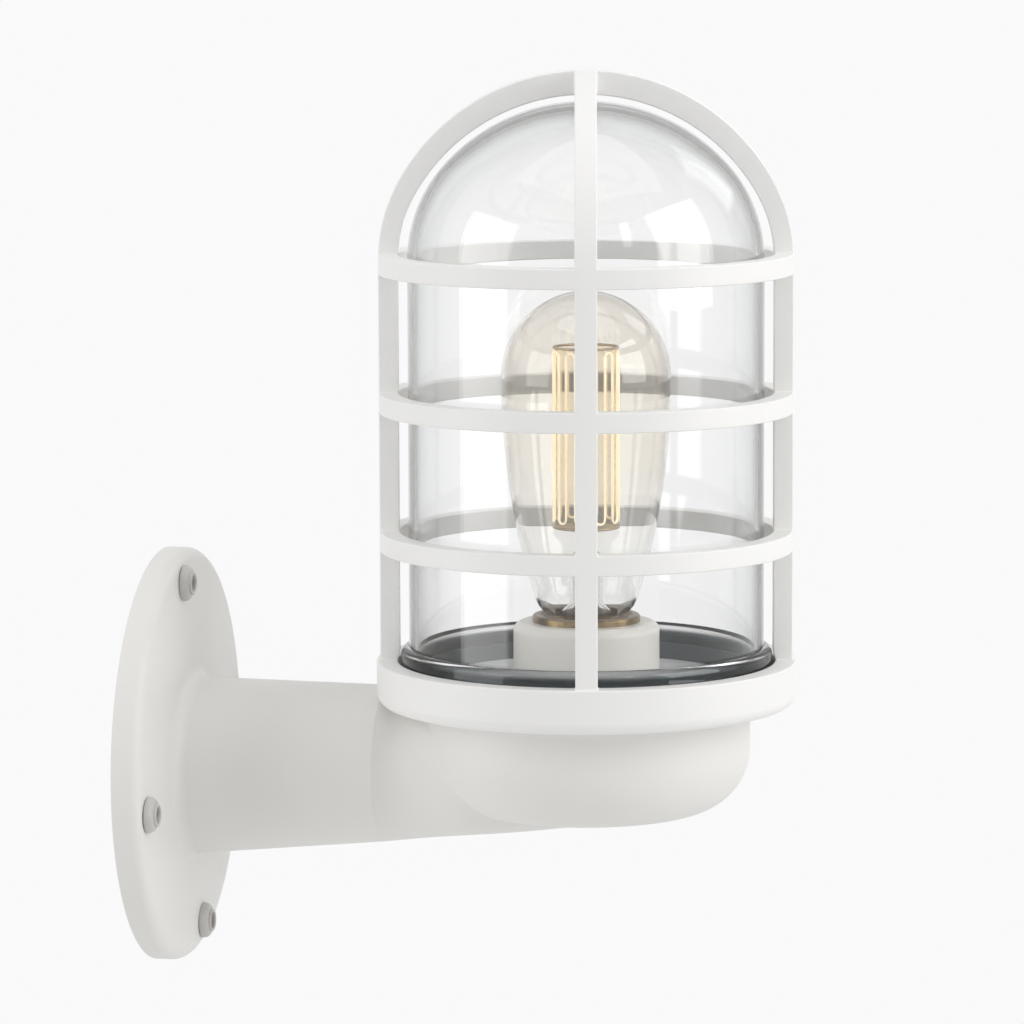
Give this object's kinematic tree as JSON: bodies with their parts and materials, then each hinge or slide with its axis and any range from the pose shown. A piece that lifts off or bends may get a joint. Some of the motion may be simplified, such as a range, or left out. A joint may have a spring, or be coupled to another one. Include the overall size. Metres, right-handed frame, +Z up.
{
  "type": "cage wall light",
  "caption": "White cast wall light: round wall plate, hollow arm and cup, clear glass dome inside a screwed-on ribbed guard, and a pear-shaped smoked lamp bulb.",
  "frame": {"origin": "middle of the wall plate's back face, on the circle of its fixings", "axes": "+Z up, -Y out from the wall, +X to the right when facing the wall"},
  "size_m": [0.1588, 0.2444, 0.3428],
  "materials": {
    "white_enamel": "satin",
    "white_enamel_guard": "satin",
    "white_enamel_disc": "gloss",
    "seal_rubber": "matt",
    "dark_rubber": "matt",
    "black_rubber": "matt",
    "grey_polymer": "satin",
    "zinc_steel": "zinc",
    "screw_steel": "zinc",
    "porcelain": "glazed",
    "brass_shell": "plain",
    "brass_ring": "aged",
    "brass_contact": "plain",
    "brass_plunger": "plain",
    "connector_polymer": "matt",
    "screw_brass": "plain",
    "brown_sheath": "satin",
    "blue_sheath": "satin",
    "green_sheath": "satin",
    "clear_glass": "clear",
    "washer_polymer": "satin",
    "solder": "plain",
    "cap_metal": "plain",
    "black_glass": "gloss",
    "smoked_glass": "smoked",
    "stem_glass": "clear",
    "column_glass": "clear",
    "dark_brass": "dark",
    "dark_wire": "dark",
    "filament_cream": "matt"
  },
  "bodies": {
    "bracket": {"wall_plate": "white_enamel", "arm_casting": "white_enamel", "wall_seal": "seal_rubber", "fixing_bushes": "grey_polymer", "entry_bush": "black_rubber", "holder_strap": "zinc_steel", "strap_screws": "screw_steel", "holder_body": "porcelain", "screw_shell": "brass_shell", "mouth_ring": "brass_ring", "contact_plate": "brass_contact", "terminal_block": "connector_polymer", "terminal_screws": "screw_brass", "earth_screw": "screw_brass", "lead_live": "brown_sheath", "lead_neutral": "blue_sheath", "lead_earth": "green_sheath", "base_disc": "white_enamel_disc", "glass_seal": "dark_rubber"},
    "plunger": {"contact_plunger": "brass_plunger"},
    "tip": {"bulb_tip": "solder"},
    "bulb": {"bulb_cap": "cap_metal", "cap_insulator": "black_glass", "bulb_glass": "smoked_glass", "bulb_stem": "stem_glass", "support_wires": "dark_wire", "bulb_column": "column_glass", "column_collars": "dark_brass", "filaments": "filament_cream"},
    "glass": {"glass_dome": "clear_glass"},
    "washer": {"slip_washer": "washer_polymer"},
    "guard": {"guard_flange": "white_enamel_guard", "guard_ribs": "white_enamel_guard", "guard_hoop_low": "white_enamel_guard", "guard_hoop_middle": "white_enamel_guard", "guard_hoop_high": "white_enamel_guard"}
  },
  "joints": [
    {"name": "contact_press", "type": "slide", "parent": "bracket", "child": "plunger", "axis": [0, 0, -1], "range_m": [0, 0.001], "stiffness_N_per_m": 600, "springref_m": -0.002},
    {"name": "bulb_rise", "type": "slide", "parent": "bracket", "child": "tip", "axis": [0, 0, 1], "range_m": [0, 0.0182]},
    {"name": "bulb_turn", "type": "hinge", "parent": "tip", "child": "bulb", "pos_m": [0, -0.165, 0], "axis": [0, 0, 1], "range_deg": [0, 1800]},
    {"name": "dome_lift", "type": "slide", "parent": "bracket", "child": "glass", "axis": [0, 0, 1], "range_m": [0, 0.16]},
    {"name": "guard_rise", "type": "slide", "parent": "glass", "child": "washer", "axis": [0, 0, 1], "range_m": [0, 0.0121]},
    {"name": "guard_turn", "type": "hinge", "parent": "washer", "child": "guard", "pos_m": [0, -0.165, 0], "axis": [0, 0, 1], "range_deg": [0, 1080]}
  ],
  "couplings": [
    {"joint": "bulb_rise", "follows": "bulb_turn", "m_per_rad": 0.00057757},
    {"joint": "guard_rise", "follows": "guard_turn", "m_per_rad": 0.00063662}
  ]
}
